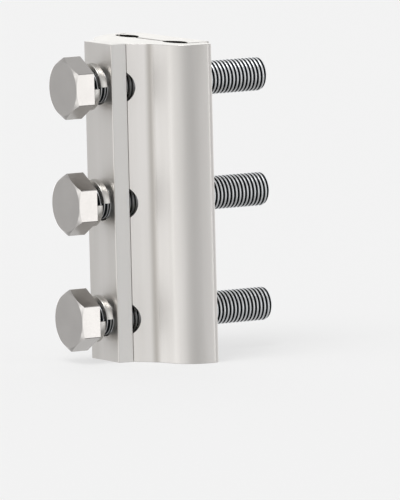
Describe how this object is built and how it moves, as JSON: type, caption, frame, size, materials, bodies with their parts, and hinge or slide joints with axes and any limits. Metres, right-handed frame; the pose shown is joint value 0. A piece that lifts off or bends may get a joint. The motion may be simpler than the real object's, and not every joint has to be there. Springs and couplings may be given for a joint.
{
  "type": "parallel groove clamp",
  "caption": "Parallel groove clamp for joining two overhead line conductors side by side: grooved jaws, a saddle bar, and bolts with spring washers.",
  "frame": {"origin": "on the lower end, on the row of bolts, in the split between the closed jaws", "axes": "+X along the bolts towards their threaded ends, +Y towards the hook, +Z along the conductors"},
  "size_m": [0.0664, 0.0521, 0.0932],
  "materials": {
    "extruded_aluminium": "satin",
    "zinc_plated_steel": "satin",
    "zinc_plated_spring_steel": "satin"
  },
  "bodies": {
    "back": {"back_jaw": "extruded_aluminium"},
    "saddle": {"saddle_bar": "extruded_aluminium", "spring_washer_bottom": "zinc_plated_spring_steel", "spring_washer_middle": "zinc_plated_spring_steel", "spring_washer_top": "zinc_plated_spring_steel"},
    "bolt_bottom": {"bolt_bottom": "zinc_plated_steel"},
    "bolt_middle": {"bolt_middle": "zinc_plated_steel"},
    "bolt_top": {"bolt_top": "zinc_plated_steel"},
    "front": {"front_jaw": "extruded_aluminium"}
  },
  "joints": [
    {"name": "bolt_bottom_turn", "type": "hinge", "parent": "saddle", "child": "bolt_bottom", "pos_m": [0, 0, 0.0126], "axis": [-1, 0, 0], "range_deg": [0, 5760]},
    {"name": "bolt_middle_turn", "type": "hinge", "parent": "saddle", "child": "bolt_middle", "pos_m": [0, 0, 0.0466], "axis": [-1, 0, 0], "range_deg": [0, 5760]},
    {"name": "bolt_top_turn", "type": "hinge", "parent": "saddle", "child": "bolt_top", "pos_m": [0, 0, 0.0806], "axis": [-1, 0, 0], "range_deg": [0, 5760]},
    {"name": "saddle_travel", "type": "slide", "parent": "back", "child": "saddle", "axis": [-1, 0, 0], "range_m": [0, 0.02]},
    {"name": "front_jaw_rock", "type": "hinge", "parent": "saddle", "child": "front", "pos_m": [0.01565, 0, 0.0466], "axis": [0, 0, 1], "range_deg": [-1, 1]}
  ],
  "couplings": [
    {"joint": "bolt_bottom_turn", "follows": "saddle_travel", "rad_per_m": 5026.5},
    {"joint": "bolt_middle_turn", "follows": "saddle_travel", "rad_per_m": 5026.5},
    {"joint": "bolt_top_turn", "follows": "saddle_travel", "rad_per_m": 5026.5}
  ]
}
